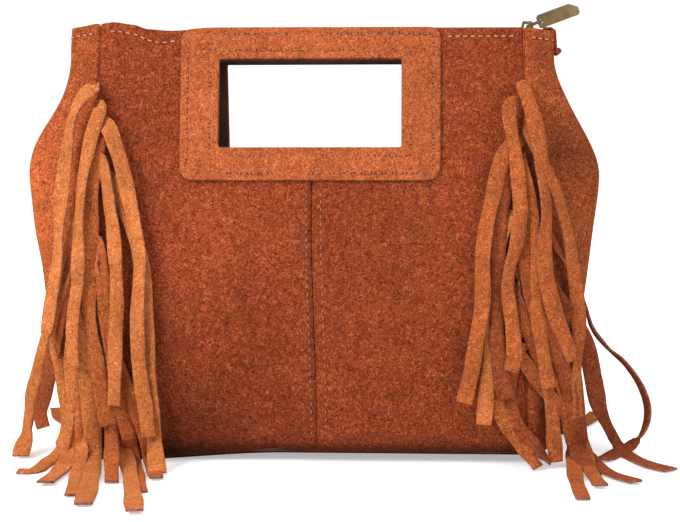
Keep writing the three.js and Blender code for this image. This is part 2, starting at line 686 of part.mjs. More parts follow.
// The zip's tail goes over the top of the right gusset and hangs down outside, with a rolled end.
function tailGeometry() {
  const half = TAIL_THICKNESS / 2;
  const start = TAPE_END + 3 * GAP + STOP_WIDTH;
  const edge = GUSSET_EDGE + GUSSET_TOP_BULGE;
  const outside = edge + GAP + half + 0.8;
  const top = HEIGHT - GUSSET_TOP_DIP + 2 * GAP + half;
  const line = [
    [start, ZIP_HEIGHT],
    [edge - 4, top],
    [edge - 0.5, top],
    [outside - 0.2, top - 1.4],
    [outside, top - 3.5],
    [outside + 0.6, top - TAIL_DROP],
  ];
  const across = new THREE.Vector3(0, 1, 0);
  const stations = line.map(([x, z]) => ({ point: new THREE.Vector3(x, 0, z), across }));
  const strip = stripGeometry(stations, TAIL_WIDTH, TAIL_THICKNESS);
  const roll = new THREE.CylinderGeometry(TAIL_ROLL, TAIL_ROLL, TAIL_WIDTH, 10);
  const [endX, endZ] = line[line.length - 1];
  roll.translate(endX + TAIL_ROLL - half, 0, endZ - TAIL_ROLL / 2);
  return unionOf([strip, roll]);
}

const mirrorX = (solid) => solid.mirror([1, 0, 0]);
const mirrorY = (solid) => solid.mirror([0, 1, 0]);

const half = panelHalf();
addMesh("front_panel_right", toGeometry(half), PANEL_SUEDE);
addMesh("front_panel_left", toGeometry(mirrorX(half)), PANEL_SUEDE);
addMesh("back_panel_right", toGeometry(mirrorY(half)), PANEL_SUEDE);
addMesh("back_panel_left", toGeometry(mirrorX(mirrorY(half))), PANEL_SUEDE);

const gusset = toSolid(gussetGeometry());
addMesh("gusset_right", toGeometry(gusset), GUSSET_SUEDE);
addMesh("gusset_left", toGeometry(mirrorX(gusset)), GUSSET_SUEDE);

const base = bodyOutline(LAST_STATION, GAP);
const board = bodyOutline(LAST_STATION, BOARD_MARGIN);
addMesh("base_panel", flatPlate(base, 0, BASE_THICKNESS), PANEL_SUEDE);
addMesh("base_board", flatPlate(board, BASE_THICKNESS + GAP, BOARD_THICKNESS), BOARD);
addMesh("lining", liningGeometry(), LINING_CLOTH);

addHandle("front", bag);
const backOfBag = new THREE.Group();
backOfBag.rotation.z = Math.PI;
bag.add(backOfBag);
addHandle("back", backOfBag);

const fringe = fringeGeometry();
addMesh("fringe_front_right", toGeometry(fringe), FRINGE_SUEDE);
addMesh("fringe_front_left", toGeometry(mirrorX(fringe)), FRINGE_SUEDE);
addMesh("fringe_back_right", toGeometry(mirrorY(fringe)), FRINGE_SUEDE);
addMesh("fringe_back_left", toGeometry(mirrorX(mirrorY(fringe))), FRINGE_SUEDE);

const tape = toSolid(tapeGeometry());
addMesh("zip_tape_front", toGeometry(tape), TAPE_CLOTH);
addMesh("zip_tape_back", toGeometry(mirrorY(tape)), TAPE_CLOTH);
const teeth = toSolid(teethGeometry());
addMesh("zip_teeth_front", toGeometry(teeth), ANTIQUE_BRASS);
addMesh("zip_teeth_back", toGeometry(mirrorY(teeth)), ANTIQUE_BRASS);
addMesh("zip_stop_open", openStop(), ANTIQUE_BRASS);
addMesh("zip_stop_closed", closedStop(), ANTIQUE_BRASS);
addMesh("zip_tail", tailGeometry(), TAPE_CLOTH);
addMesh("zip_slider", sliderGeometry(), ANTIQUE_BRASS);

const link = new THREE.Group();
link.position.copy(PIVOT);
link.rotation.y = -PULL_TILT;
bag.add(link);
addMesh("zip_link", linkGeometry(), ANTIQUE_BRASS, link);
const pull = new THREE.Group();
pull.position.x = LINK_LENGTH;
link.add(pull);
addMesh("zip_pull", pullGeometry(), ANTIQUE_BRASS, pull);

export default bag;
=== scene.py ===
import math
import random

import bmesh
import bpy
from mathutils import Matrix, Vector, noise


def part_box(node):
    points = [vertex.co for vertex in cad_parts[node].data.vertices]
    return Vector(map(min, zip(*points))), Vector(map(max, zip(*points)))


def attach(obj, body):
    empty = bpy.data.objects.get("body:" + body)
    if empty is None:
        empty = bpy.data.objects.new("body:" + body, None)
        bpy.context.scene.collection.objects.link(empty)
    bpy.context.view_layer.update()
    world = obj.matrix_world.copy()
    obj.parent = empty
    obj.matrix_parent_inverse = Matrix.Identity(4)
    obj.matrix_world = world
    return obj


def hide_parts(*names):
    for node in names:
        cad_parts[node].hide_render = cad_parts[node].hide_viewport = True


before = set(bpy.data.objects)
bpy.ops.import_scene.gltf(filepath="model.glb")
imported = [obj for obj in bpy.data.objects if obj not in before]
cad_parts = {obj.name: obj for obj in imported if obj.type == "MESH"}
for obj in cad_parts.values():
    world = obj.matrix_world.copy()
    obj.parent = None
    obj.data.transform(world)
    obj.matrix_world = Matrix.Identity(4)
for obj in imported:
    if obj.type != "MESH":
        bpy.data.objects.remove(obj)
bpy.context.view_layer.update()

MM = 0.001

# The bag's shell in millimetres, heights above the table
HEIGHT = 227.0
PANEL_EDGE = 111.2
GUSSET_EDGE = 112.0
SUEDE = 1.4
TOP_DEPTH = 27.0
CREASE_HEIGHT = 145.0
CREASE_DEPTH = 52.0
BELLY_HEIGHT = 55.0
BELLY_DEPTH = 84.0
FOOT_DEPTH = 71.0
PANEL_BOW = 5.0
BOTTOM_ROLL = 9.0
SEAM_CORNER = 1.6
SEAM_ALLOWANCE = 4.0
GUSSET_ALLOWANCE = 2.0
GUSSET_TOP_BULGE = 15.0
GUSSET_BELLY_BULGE = 40.5
GUSSET_FOOT_BULGE = 16.0
GUSSET_BELLY_HEIGHT = 149.0
GUSSET_NECK_HEIGHT = 213.0
LEAN = math.atan((CREASE_DEPTH - TOP_DEPTH) / 2 / (HEIGHT - CREASE_HEIGHT))
PANEL_GRID = 2.6
PANEL_CORNER_STEPS = 5
GUSSET_GRID = 3.0
GUSSET_STEPS = 40
GUSSET_CORNER_STEPS = 4
ROLL_STEPS = 8
ROLL_ANGLE = math.radians(80)

# How the edges depart from straight: rise of the top edge at each x, and of the lower front edge
TOP_WAVE = [
    (-130, 2.6), (-112, 2.4), (-104, 3.2), (-94, 1.8), (-86, -0.6), (-74, -1.4), (-50, -0.2), (110, -0.5),
]
BASE_LIFT = 4.6

# The handle frame and its opening, measured up the leaning plate from the crease
PLATE_HEIGHT = (HEIGHT - CREASE_HEIGHT) / math.cos(LEAN)
OPENING_WIDTH = 95.6
OPENING_HEIGHT = 47.0
OPENING_HALF = OPENING_WIDTH / 2
FRAME_BORDER = 20.3
FRAME_TOP_BORDER = 17.0
FRAME_LOWER_BORDER = 17.5
FRAME_HALF = OPENING_HALF + FRAME_BORDER
HOLE_TOP = PLATE_HEIGHT - FRAME_TOP_BORDER
HOLE_LOW = HOLE_TOP - OPENING_HEIGHT
FRAME_LOW = HOLE_LOW - FRAME_LOWER_BORDER
FRAME_THICKNESS = 1.6
SEWN_GAP = 0.3
# Shares of the way from the frame's outer edge to the opening: rings of its face, and its sewn rows
FACE_RINGS = (0.08, 0.14, 0.18, 0.2, 0.22, 0.28, 0.38, 0.5, 0.62, 0.7, 0.745, 0.765, 0.785, 0.84, 0.92)
FACE_ROWS = (0.2, 0.765)

# Sewing: pitch, length and radius of the stitches, and where the rows are
FRAME_SEWING = (5.4, 3.2, 0.37)
SEAM_SEWING = (4.1, 2.6, 0.29)
TOP_SEWING = (4.1, 2.8, 0.36)
OUTER_ROW_INSET = 3.7
INNER_ROW_INSET = 4.7
SEAM_ROWS = (-2.7, 4.9)
SEAM_TOP = 146.0
TOP_ROW_HEIGHT = 222.0
# Rings of a stitch: share of its length, share of its radius, and rise in radii
STITCH_RINGS = [
    (0.0, 0.35, -0.5), (0.14, 0.85, 0.1), (0.35, 1.0, 0.35),
    (0.65, 1.0, 0.35), (0.86, 0.85, 0.1), (1.0, 0.35, -0.5),
]
STITCH_SIDES = 6
HOLE_SIDES = 8

# Fringes
STRAND_COUNT = 16
STRAND_PITCH = 9
STRAND_LENGTH = 160
TOP_ROOT = 198
LAYER_STRANDS = 6
COLUMN_PITCH = 10
STRAND_WIDTH = 8.8
STRAND_THICKNESS = 1.3
STRAND_STEP = 2.6
CURTAIN_REACH = 43.0
FLOOR = 0.35
FLOOR_LAYER = 0.45
ROOT_X = (GUSSET_EDGE + PANEL_EDGE) / 2
HEADER_TOP = 226
HEADER_LOW = 12
# A strand's section, in shares of half its width and half its thickness, and the sides that are cut edges
STRAND_SECTION = [
    (-1, -0.5), (-0.94, -1), (-0.4, -1), (0.4, -1), (0.94, -1), (1, -0.5),
    (1, 0.5), (0.94, 1), (0.4, 1), (-0.4, 1), (-0.94, 1), (-1, 0.5),
]
CUT_SIDES = (5, 11)
CUT_SLOT = 3
# One strand of the right front fringe is narrower than the rest and stands out in a loop
LOOP_ROOT = 142
LOOP_WIDTH = 6.0

# Camera in millimetres, and pixels of a frame as wide as the render's
EYE = Vector((47.0, -713.0, 148.0))
AIM = Vector((15.4, -13.0, 103.85))
VANISHING_PX = (400.0, 177.0)  # where lines straight to the back meet
FOCAL_PX = 1321.0
FRAME_WIDTH_PX = 680
SENSOR_WIDTH = 36
LAMP_TARGET = Vector((0, 0, 0.1))  # in metres


def lerp(a, b, t):
    return a + (b - a) * t


def clamp(t, low=0.0, high=1.0):
    return max(low, min(high, t))


def smooth(a, b, t):
    t = clamp((t - a) / (b - a))
    return t * t * (3 - 2 * t)


def bell(t, width):
    return math.exp(-((t / width) ** 2))


def table(pairs, t):
    """A smooth curve through given pairs."""
    if t <= pairs[0][0]:
        return pairs[0][1]
    for (a, va), (b, vb) in zip(pairs, pairs[1:]):
        if t <= b:
            return lerp(va, vb, smooth(a, b, t))
    return pairs[-1][1]


def wobble(x, y, z, size, seed=0.0):
    return noise.noise(Vector((x / size + seed, y / size - seed, z / size + 2 * seed)))


def spans(breaks, step):
    """Values from the first break to the last that hit every break, about step apart."""
    values = [breaks[0]]
    for a, b in zip(breaks, breaks[1:]):
        count = max(1, round(abs(b - a) / step))
        values += [lerp(a, b, (i + 1) / count) for i in range(count)]
    return values


# Materials


class Look:
    """A material in the making, with short ways to add its nodes."""

    def __init__(self, name):
        self.material = bpy.data.materials.new(name)
        self.material.use_nodes = True
        self.nodes = self.material.node_tree.nodes
        self.links = self.material.node_tree.links
        self.nodes.clear()
        self.place = self.add("TexCoord", {}).outputs["Object"]

    def add(self, kind, inputs, **settings):
        """A new node. Each of its inputs is a value or the output of another node."""
        node = self.nodes.new("ShaderNode" + kind)
        for key, value in settings.items():
            setattr(node, key, value)
        for key, value in inputs.items():
            if isinstance(value, bpy.types.NodeSocket):
                self.links.new(value, node.inputs[key])
            else:
                node.inputs[key].default_value = value
        return node

    def noise(self, scale, detail, roughness=0.55, distortion=0.0):
        inputs = {"Vector": self.place, "Scale": scale, "Detail": detail}
        inputs |= {"Roughness": roughness, "Distortion": distortion}
        return self.add("TexNoise", inputs).outputs["Fac"]

    def ramp(self, source, stops):
        node = self.add("ValToRGB", {"Fac": source})
        elements = node.color_ramp.elements
        while len(elements) < len(stops):
            elements.new(0.5)
        for element, (position, color) in zip(elements, stops):
            element.position = position
            element.color = (*color, 1)
        return node.outputs["Color"]

    def multiply(self, a, b, share=1.0):
        """Colour a times colour b, or only a share of the way there."""
        inputs = {"Factor": share, "A": a, "B": b}
        return self.add("Mix", inputs, data_type="RGBA", blend_type="MULTIPLY").outputs["Result"]

    def map_range(self, source, before, after, kind="LINEAR"):
        """The source's values, brought from the range before to the range after."""
        inputs = {"Value": source, "From Min": before[0], "From Max": before[1]}
        inputs |= {"To Min": after[0], "To Max": after[1]}
        return self.add("MapRange", inputs, interpolation_type=kind).outputs["Result"]

    def bump(self, height, strength, distance, under=None):
        inputs = {"Height": height, "Strength": strength, "Distance": distance}
        if under:
            inputs["Normal"] = under
        return self.add("Bump", inputs).outputs["Normal"]

    def show(self, surface):
        self.add("OutputMaterial", {"Surface": surface})
        return self.material

    def principled(self, inputs):
        return self.show(self.add("BsdfPrincipled", inputs).outputs["BSDF"])


def srgb(color):
    """A colour written from 0 to 255, as the linear values that shaders take."""
    shares = [c / 255 for c in color]
    return tuple(c / 12.92 if c <= 0.04045 else ((c + 0.055) / 1.055) ** 2.4 for c in shares)


def suede(name, tones, nap=0.9, patches=22.0, curl=780.0, painted_shade_and_light_spots=(), painted_underside_shade=False):
    """Napped hide: faint brushed patches, short curly fibres whose colour is partly their own tone and
    partly a painted highlight on the raised fibres with painted shade between them, and a soft sheen.

    A spot is a point in millimetres, a radius and how bright the colour is painted there: below one for
    painted shade, above one for painted light. The last option darkens the colour near the table, a painted
    shadow under the rolled lower edge."""
    dark, mid, light = map(srgb, tones)
    look = Look(name)
    patch = look.noise(patches, 4, 0.5, 0.4)
    streak = look.noise(140, 4, 0.6, 0.5)
    fibre = look.noise(curl, 2, 0.6, 1.6)
    # Painted highlight and shade on the nap: the fibre noise that raises the bump also lightens the colour
    color = look.ramp(fibre, [(0.30, dark), (0.5, mid), (0.70, light)])
    clouds = look.ramp(patch, [(0.3, (0.84, 0.82, 0.8)), (0.7, (1.12, 1.12, 1.12))])
    color = look.multiply(color, clouds)
    streaks = look.ramp(streak, [(0.32, (0.78, 0.76, 0.74)), (0.68, (1.18, 1.17, 1.16))])
    color = look.multiply(color, streaks, 0.8)
    # Painted shade and light: each spot darkens or brightens the colour round a point
    for centre, radius, gain in painted_shade_and_light_spots:
        centre = [c * MM for c in centre]
        away = look.add("VectorMath", {0: look.place, 1: centre}, operation="DISTANCE").outputs["Value"]
        color = look.multiply(color, look.map_range(away, (0, radius * MM), (gain, 1), "SMOOTHSTEP"))
    # Painted shade: the colour is darkened near the table, standing for the shadow under the rolled lower
    # edge
    if painted_underside_shade:
        height = look.add("SeparateXYZ", {0: look.place}).outputs["Z"]
        color = look.multiply(color, look.map_range(height, (0.005, 0.016), (0.22, 1), "SMOOTHSTEP"))
    wide = look.bump(streak, 0.3, 0.0015)
    return look.principled({
        "Base Color": color,
        "Roughness": 0.95,
        "Specular IOR Level": 0.1,
        "Sheen Weight": 0.3,
        "Sheen Roughness": 0.5,
        "Sheen Tint": (*light, 1),
        "Normal": look.bump(fibre, nap, 0.0006, wide),
    })


def metal(name, tones, stain_scale=260):
    """Old brass that is duller where it is stained."""
    dark, light = map(srgb, tones)
    look = Look(name)
    stain = look.noise(stain_scale, 6, 0.65, 0.4)
    return look.principled({
        "Base Color": look.ramp(stain, [(0.35, dark), (0.65, light)]),
        "Metallic": 0.92,
        "Roughness": look.map_range(stain, (0, 1), (0.3, 0.54)),
        "Normal": look.bump(look.noise(1800, 3, 0.6), 0.12, 0.0002),
    })


def woven(name, tones, pitch=0.0007):
    """Plain cloth with its threads along x and z."""
    dark, light = map(srgb, tones)
    look = Look(name)
    waves = []
    for direction in ("X", "Z"):
        inputs = {"Vector": look.place, "Scale": 0.31 / pitch, "Distortion": 0.6, "Detail": 1}
        wave = look.add("TexWave", inputs, wave_type="BANDS", bands_direction=direction)
        waves.append(wave.outputs["Color"])
    weave = look.multiply(*waves)
    base = look.ramp(look.noise(60, 4), [(0.3, dark), (0.7, light)])
    threads = look.ramp(weave, [(0.0, (0.6, 0.6, 0.6)), (1.0, (1.15, 1.15, 1.15))])
    return look.principled({
        "Base Color": look.multiply(base, threads, 0.7),
        "Roughness": 0.88,
        "Sheen Weight": 0.05,
        "Normal": look.bump(weave, 0.5, 0.0002),
    })


def thread(name, tones):
    """Twisted sewing thread."""
    dark, light = map(srgb, tones)
    look = Look(name)
    twist = look.noise(2200, 2)
    return look.principled({
        "Base Color": look.ramp(twist, [(0.35, dark), (0.65, light)]),
        "Roughness": 0.9,
        "Normal": look.bump(twist, 0.6, 0.0002),
    })


# Painted shade and light on the front panel: painted shadow at the lower left under the fringe, painted
# shade along the bottom and beside the centre seam, a darker patch at the top left, a short dark dash on
# the crease under the frame, and painted light on patches left of the seam and to the right
PANEL_PAINTED_SHADE_AND_LIGHT = (
    ((-87, -20, 200), 50, 0.8),
    ((-40, -42, 24), 60, 0.8),
    ((-80, -40, 68), 36, 0.74),
    ((-68, -38, 14), 46, 0.66),
    ((60, -40, 20), 60, 0.88),
    ((-60, -38, 112), 55, 1.1),
    ((26, -40, 122), 46, 0.84),
    ((80, -36, 95), 45, 1.08),
    ((-76.5, -28, 146.3), 2.2, 0.45),
    ((-74.6, -28, 146.5), 2.2, 0.4),
    ((-72.6, -28, 146.7), 2.2, 0.5),
)
# Painted shade in the hollow of the right gusset beside its fringe, and painted light on the left gusset,
# which faces the key lamp
GUSSET_PAINTED_SHADE_AND_LIGHT = (((134, -14, 158), 34, 0.55), ((-150, 0, 140), 85, 1.6))

# Each material with its tones, from dark to light
# The panel suede carries painted shade and light from its spots and a painted shadow near the table
PANEL = suede(
    "panel_suede_nap", [(82, 31, 18), (133, 56, 29), (180, 98, 57)],
    patches=15.0, curl=700.0, painted_shade_and_light_spots=PANEL_PAINTED_SHADE_AND_LIGHT, painted_underside_shade=True,
)
GUSSET = suede("gusset_suede_nap", [(84, 34, 20), (150, 70, 36), (200, 114, 66)], painted_shade_and_light_spots=GUSSET_PAINTED_SHADE_AND_LIGHT)
FRAME = suede("frame_suede_nap", [(112, 50, 28), (166, 82, 44), (206, 122, 76)], nap=0.7)
# Three tones of strand suede. The front fringes take lighter tones on the left and darker on the right,
# partly painted light and shade from the key lamp on the left, with darker tones on some deeper strands as
# painted shade; the back fringes pick tones at random
STRANDS = [
    suede("strand_suede_light", [(140, 72, 38), (186, 106, 56), (216, 142, 88)], nap=0.6, patches=34.0),
    suede("strand_suede_middle", [(116, 54, 29), (164, 84, 42), (200, 120, 70)], nap=0.6, patches=34.0),
    suede("strand_suede_deep", [(92, 40, 24), (134, 65, 35), (172, 94, 56)], nap=0.6, patches=34.0),
]
CUT_EDGE = suede("cut_edge", [(96, 54, 44), (142, 90, 74), (194, 138, 118)], nap=0.8, patches=120)
# The handle facing is much darker than the panel suede: partly its own darker tone, partly painted shade of
# the inside of the opening
FACING = suede("facing_suede_nap", [(48, 22, 14), (74, 34, 20), (104, 52, 30)])
LINING = woven("lining_weave", [(60, 38, 28), (88, 60, 44)])
TAPE = woven("zip_tape_weave", [(84, 42, 24), (122, 66, 38)], pitch=0.0006)
BOARD = woven("board_fibre", [(120, 104, 84), (150, 134, 110)], pitch=0.0015)
BRASS = metal("antique_brass", [(84, 68, 46), (150, 128, 88)])
PLATE = metal("brushed_old_brass", [(112, 92, 64), (146, 124, 88)], stain_scale=90)
THREAD = thread("peach_thread", [(136, 74, 48), (196, 122, 90)])
PALE_THREAD = thread("pale_peach_thread", [(178, 106, 76), (224, 160, 126)])
# Painted shade: the colour of the needle-hole discs stands for the shadow in the holes
NEEDLE_HOLE_SHADE = thread("needle_hole_shade", [(74, 28, 16), (98, 40, 24)])


# Meshes


def make_object(name, vertices, faces, materials, slots=()):
    mesh = bpy.data.meshes.new(name)
    mesh.from_pydata([tuple(c * MM for c in v) for v in vertices], [], faces)
    for material in materials:
        mesh.materials.append(material)
    for i, polygon in enumerate(mesh.polygons):
        polygon.use_smooth = True
        if slots:
            polygon.material_index = slots[i]
    bm = bmesh.new()
    bm.from_mesh(mesh)
    bmesh.ops.recalc_face_normals(bm, faces=bm.faces)
    bm.to_mesh(mesh)
    bm.free()
    obj = bpy.data.objects.new(name, mesh)
    bpy.context.scene.collection.objects.link(obj)
    return obj


def sheet(name, rows, thickness, material, keep=None):
    """A closed sheet from a grid of (outer point, inward direction); keep says which cells are there."""
    height, width = len(rows), len(rows[0])
    outer = [p for row in rows for p, _ in row]
    inner = [p + n * thickness for row in rows for p, n in row]
    offset = len(outer)
    faces, edges = [], {}
    for r in range(height - 1):
        for c in range(width - 1):
            if keep and not keep(r, c):
                continue
            a, b = r * width + c, r * width + c + 1
            d, e = a + width, b + width
            faces.append((a, b, e, d))
            faces.append((offset + d, offset + e, offset + b, offset + a))
            for edge in ((a, b), (b, e), (e, d), (d, a)):
                key = tuple(sorted(edge))
                edges[key] = None if key in edges else edge
    for edge in edges.values():
        if edge:
            a, b = edge
            faces.append((b, a, offset + a, offset + b))
    used = sorted({i for face in faces for i in face})
    index = {old: new for new, old in enumerate(used)}
    every = outer + inner
    faces = [tuple(index[i] for i in face) for face in faces]
    return make_object(name, [every[i] for i in used], faces, [material])


def tube_faces(base, rings, around):
    """The sides and then the two caps of a tube whose rings of points start at base."""
    faces = []
    for r in range(rings - 1):
        for k in range(around):
            a = base + r * around + k
            b = base + r * around + (k + 1) % around
            faces.append((a, b, b + around, a + around))
    last = base + (rings - 1) * around
    faces.append(tuple(base + k for k in reversed(range(around))))
    faces.append(tuple(last + k for k in range(around)))
    return faces


# The shell's form


def half_depth(z):
    if z >= CREASE_HEIGHT:
        return TOP_DEPTH / 2 + (HEIGHT - z) * math.tan(LEAN)
    if z >= BELLY_HEIGHT:
        share = (CREASE_HEIGHT - z) / (CREASE_HEIGHT - BELLY_HEIGHT)
        return (CREASE_DEPTH + (BELLY_DEPTH - CREASE_DEPTH) * math.sin(share * math.pi / 2)) / 2
    return (BELLY_DEPTH - (BELLY_DEPTH - FOOT_DEPTH) * (1 - z / BELLY_HEIGHT) ** 2) / 2


def gusset_bulge(z):
    if z >= GUSSET_BELLY_HEIGHT:
        share = 1 - smooth(GUSSET_BELLY_HEIGHT, GUSSET_NECK_HEIGHT, z)
        return lerp(GUSSET_TOP_BULGE, GUSSET_BELLY_BULGE, share)
    return lerp(GUSSET_BELLY_BULGE, GUSSET_FOOT_BULGE, (1 - z / GUSSET_BELLY_HEIGHT) ** 1.4)


def panel_bow(x, z):
    rise = (CREASE_HEIGHT - z) / (CREASE_HEIGHT - BOTTOM_ROLL)
    if rise <= 0 or rise >= 1:
        return 0.0
    return PANEL_BOW * math.sin(rise * math.pi) * (1 - (x / PANEL_EDGE) ** 2)


def profile(step):
    """Stations from the top edge down the side view and round the lower edge.

    Each gives its height, half depth, roll under the bag, and the inward and upward parts of its normal."""
    stations = []
    for s in spans([0, FRAME_TOP_BORDER, FRAME_TOP_BORDER + OPENING_HEIGHT, PLATE_HEIGHT], step):
        z = HEIGHT - s * math.cos(LEAN)
        stations.append((z, half_depth(z), 0.0, math.cos(LEAN), -math.sin(LEAN)))
    for z in spans([CREASE_HEIGHT, BOTTOM_ROLL], step)[1:]:
        slope = math.atan(half_depth(z - 1) - half_depth(z))
        stations.append((z, half_depth(z), 0.0, math.cos(slope), -math.sin(slope)))
    for i in range(1, ROLL_STEPS + 1):
        angle = ROLL_ANGLE * i / ROLL_STEPS
        rolled = BOTTOM_ROLL * (1 - math.cos(angle))
        z = BOTTOM_ROLL * (1 - math.sin(angle))
        stations.append((z, half_depth(BOTTOM_ROLL) - rolled, rolled, math.cos(angle), math.sin(angle)))
    return stations


def lift_at(x, y, z):
    """How far a point is raised: the top edge has its wave, and the lower front edge curls up."""
    low = BASE_LIFT * smooth(-100, -12, x) * smooth(22, 4, z) * smooth(2, -34, y)
    wave = lerp(table(TOP_WAVE, x), 0.6 * table(TOP_WAVE, -0.6 * x), smooth(-12, 12, y))
    return wave * smooth(190, HEIGHT, z) + low


def lift(x, z, front):
    return lift_at(x, -40 if front else 40, z)


def seam_drift(z):
    """How far the centre seam has run to the right: a little under the frame, more on its way down."""
    return 1.2 * smooth(161, 148, z) + 3.4 * smooth(SEAM_TOP, 30, z)


def softness(x, z, front):
    """How far the hide stands out from its plain shape, in millimetres."""
    seed = 3.1 if front else 17.7
    free = clamp(smooth(64, 76, abs(x)) + smooth(146, 136, z))
    low = smooth(150, 90, z)
    value = 1.5 * wobble(x, seed, z, 70, seed) * free
    value += 0.7 * wobble(x, seed, z, 26, seed) * free * (0.4 + 0.6 * low)
    value -= 0.7 * bell(z - 143, 5) * (0.5 + 0.5 * wobble(x, 1, z, 40, seed))
    if z < SEAM_TOP:
        off_seam = x - (seam_drift(z) if front else 0)
        pucker = math.sin(z * 1.15) * 0.1
        value -= 0.9 * bell(off_seam, 1.1)
        value -= (0.35 + 1.6 * pucker) * sum(bell(off_seam - row, 1.2) for row in SEAM_ROWS)
    if abs(x) > 70:
        value -= (0.25 + 0.08 * math.sin(x * 1.5)) * bell(z - TOP_ROW_HEIGHT, 1.6)
    value += 1.2 * bell(z - 24, 16) * wobble(x, 4, 0, 45, seed)
    return value


def panel_point(x, z, front, out=0.0):
    sign = -1 if front else 1
    half = half_depth(z) + panel_bow(x, z) + softness(x, z, front) + out
    return Vector((x, sign * half, z + lift(x, z, front)))


def gusset_point(side, degrees, z, half, bulge, out=0.0):
    """A point of the gusset, at an angle round from its middle: folded in at the seams, rounded between."""
    angle, away = math.radians(degrees), abs(degrees)
    fold = bell(away - 62, 17) * (1.0 + 1.3 * smooth(70, 130, z) * smooth(222, 190, z))
    rim = 2.6 * bell(away - 24, 14) * smooth(100, 150, z)
    push = rim - fold + 1.4 * wobble(side * bulge, angle * 20, z, 30, 5.3 * side)
    push = push * smooth(90, 78, away) + out
    x = GUSSET_EDGE + SEAM_CORNER + (bulge + push) * math.cos(angle)
    y = (half + push * 0.8) * math.sin(angle)
    dip = 1.5 * clamp((z - CREASE_HEIGHT) / (HEIGHT - CREASE_HEIGHT)) * math.cos(angle)
    return Vector((side * x, y, z + lift_at(side * (GUSSET_EDGE + 4), y, z) - dip))


# The shell's pieces


def panel_half(name, side, front):
    sign = -1 if front else 1
    flat_edge = PANEL_EDGE - SEAM_CORNER
    xs = spans([SEWN_GAP / 2, OPENING_HALF, flat_edge], PANEL_GRID)
    stations = profile(PANEL_GRID)

    def place(station, x, depth):
        z, half, _, inward, up = station
        wide = x * side
        if front:
            wide += seam_drift(z) * (1 - x / PANEL_EDGE)
        out = half + panel_bow(x, z) + softness(wide, z, front) - depth * inward
        return Vector((wide, sign * out, z + lift(wide, z, front) + depth * up))

    rows = []
    for station in stations:
        inward, up = station[3:]
        row = [(place(station, x, 0), Vector((0, -sign * inward, up))) for x in xs]
        for i in range(1, PANEL_CORNER_STEPS + 1):
            angle = math.pi / 2 * (1 - i / PANEL_CORNER_STEPS)
            cos, sin = math.cos(angle), math.sin(angle)
            point = place(station, flat_edge + SEAM_CORNER * cos, SEAM_CORNER * (1 - sin))
            row.append((point, Vector((-side * cos, -sign * inward * sin, up * sin))))
        row.append((place(station, PANEL_EDGE, SEAM_ALLOWANCE), Vector((-side, 0, 0))))
        rows.append(row)
    low = HEIGHT - (FRAME_TOP_BORDER + OPENING_HEIGHT) * math.cos(LEAN)
    high = HEIGHT - FRAME_TOP_BORDER * math.cos(LEAN)

    def keep(r, c):
        z = (stations[r][0] + stations[r + 1][0]) / 2
        return c + 1 >= len(xs) or not (low < z < high and (xs[c] + xs[c + 1]) / 2 < OPENING_HALF)

    return sheet(name, rows, SUEDE, PANEL, keep)


def gusset(name, side):
    rows = []
    for z, half, rolled, inward, up in profile(GUSSET_GRID):
        bulge = gusset_bulge(max(z, BOTTOM_ROLL)) - rolled - SEAM_CORNER

        def turned(sign, angle, extra=0.0):
            x = GUSSET_EDGE + SEAM_CORNER * (1 - math.cos(angle))
            depth = SEAM_CORNER * (1 - math.sin(angle)) + extra
            raised = lift_at(side * (GUSSET_EDGE + 4), sign * half, z)
            point = Vector((side * x, sign * (half - depth * inward), z + raised + depth * up))
            return point, Vector((side * math.cos(angle), -sign * inward * math.sin(angle), 0))

        corner = [math.pi / 2 * i / GUSSET_CORNER_STEPS for i in range(GUSSET_CORNER_STEPS)]
        row = [turned(-1, 0, GUSSET_ALLOWANCE)]
        row += [turned(-1, angle) for angle in corner]
        for i in range(GUSSET_STEPS + 1):
            degrees = -90 + 180 * i / GUSSET_STEPS
            angle = math.radians(degrees)
            normal = Vector((-side * math.cos(angle) * inward, -math.sin(angle) * inward, up))
            row.append((gusset_point(side, degrees, z, half, bulge), normal))
        row += [turned(1, angle) for angle in reversed(corner)]
        row.append(turned(1, 0, GUSSET_ALLOWANCE))
        rows.append(row)
    return sheet(name, rows, SUEDE, GUSSET)


def base_plate(name, node, material):
    """A plate of the base, whose front edge curls up with the lower edge of the front."""
    low, high = (Vector(corner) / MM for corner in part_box(node))
    rows = []
    for y in spans([low.y, high.y], 3):
        xs = spans([low.x, high.x], 5)
        rows.append([(Vector((x, y, low.z + lift_at(x, y, 0))), Vector((0, 0, 1))) for x in xs])
    return sheet(name, rows, high.z - low.z, material)


def on_plate(x, s, out, front):
    """A point of the leaning upper part: s up from the crease, raised with the top edge, out from it."""
    sign = -1 if front else 1
    s += lift(x, HEIGHT, front) * smooth(60, 83, s)
    y = CREASE_DEPTH / 2 - s * math.sin(LEAN) + out * math.cos(LEAN)
    z = CREASE_HEIGHT + s * math.cos(LEAN) + out * math.sin(LEAN)
    return Vector((x, sign * y, z))


def rounded_loop(x_half, s0, s1, lower, upper, per_side=(36, 14), corner=6):
    """Points round a rectangle with round corners, the same number on every such loop."""
    points = []
    corners = [
        (x_half - lower, s0 + lower, lower, -90),
        (x_half - upper, s1 - upper, upper, 0),
        (-x_half + upper, s1 - upper, upper, 90),
        (-x_half + lower, s0 + lower, lower, 180),
    ]
    for i, (cx, cs, radius, start) in enumerate(corners):
        for k in range(corner):
            angle = math.radians(start + 90 * k / (corner - 1))
            points.append((cx + radius * math.cos(angle), cs + radius * math.sin(angle)))
        nx, ns, nr, nstart = corners[(i + 1) % 4]
        following = (nx + nr * math.cos(math.radians(nstart)), ns + nr * math.sin(math.radians(nstart)))
        last = points[-1]
        count = per_side[1 - i % 2]
        for k in range(1, count):
            points.append((lerp(last[0], following[0], k / count), lerp(last[1], following[1], k / count)))
    return points


